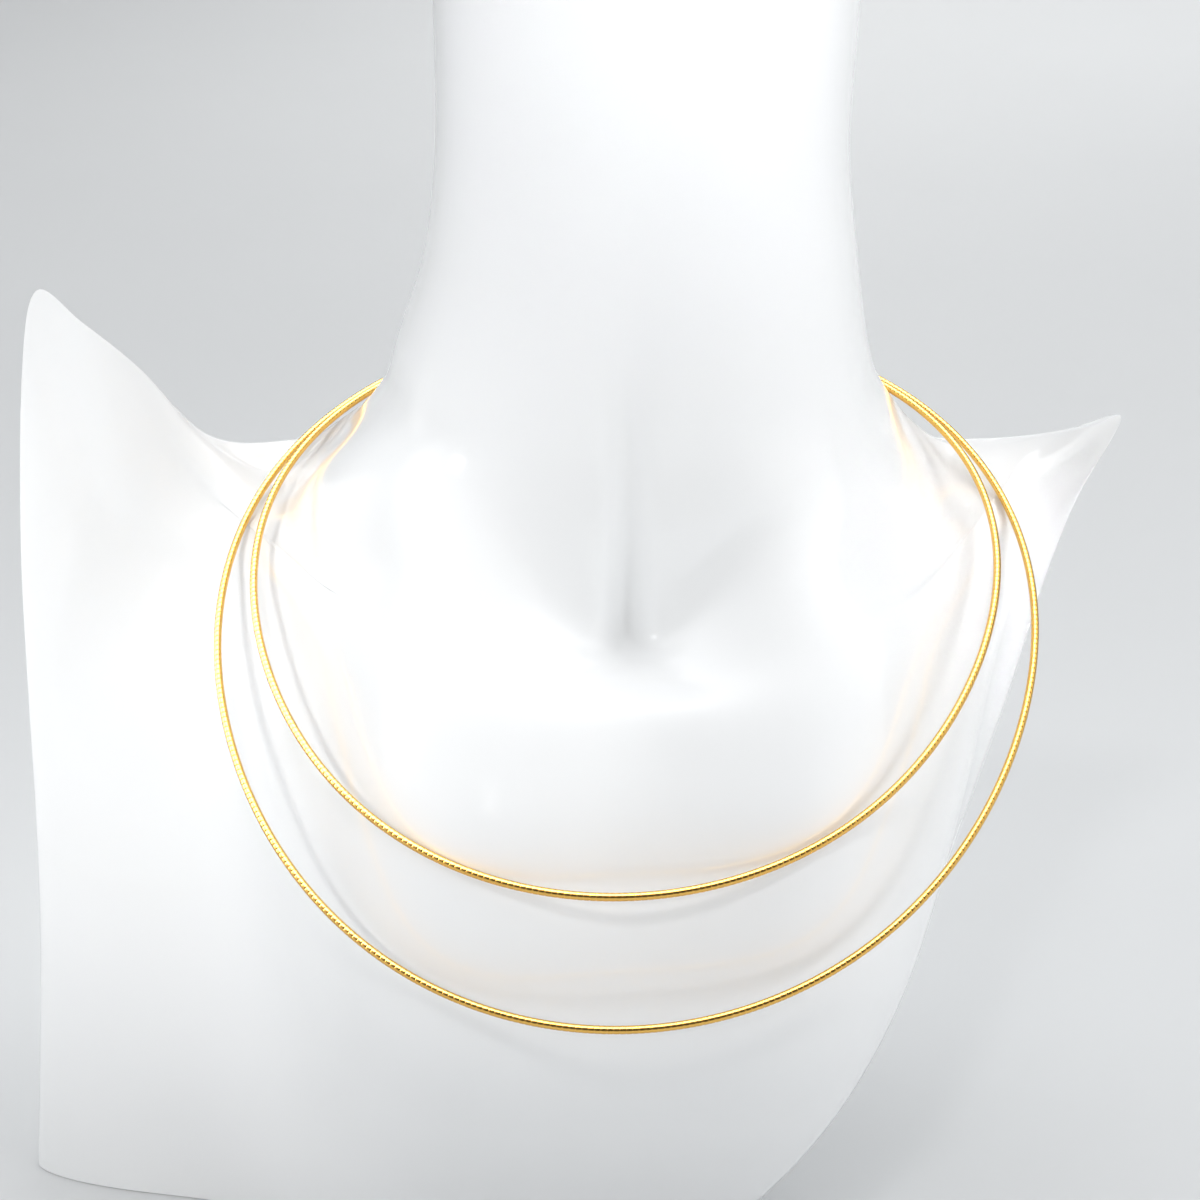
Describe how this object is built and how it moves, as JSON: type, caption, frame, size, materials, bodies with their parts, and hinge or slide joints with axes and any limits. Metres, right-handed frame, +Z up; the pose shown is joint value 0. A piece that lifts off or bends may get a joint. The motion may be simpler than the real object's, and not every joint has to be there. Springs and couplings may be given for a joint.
{
  "type": "two-strand omega necklace on neck bust",
  "caption": "Gold omega necklace with an upper and a lower strand of fine round chain on one clasp, worn by a glossy white neck bust with uneven shoulders and a flat foot.",
  "frame": {"origin": "on the table under the axis of the neck, in the bust's flat foot", "axes": "+Z up, -Y to the front of the bust, +X to the viewer's right"},
  "size_m": [0.2277, 0.1472, 0.258],
  "materials": {
    "bust_white": "glossy",
    "gold": "polished"
  },
  "bodies": {
    "root": {"neck_bust": "bust_white", "strand_inner": "gold", "strand_outer": "gold", "clasp": "gold"}
  },
  "joints": []
}
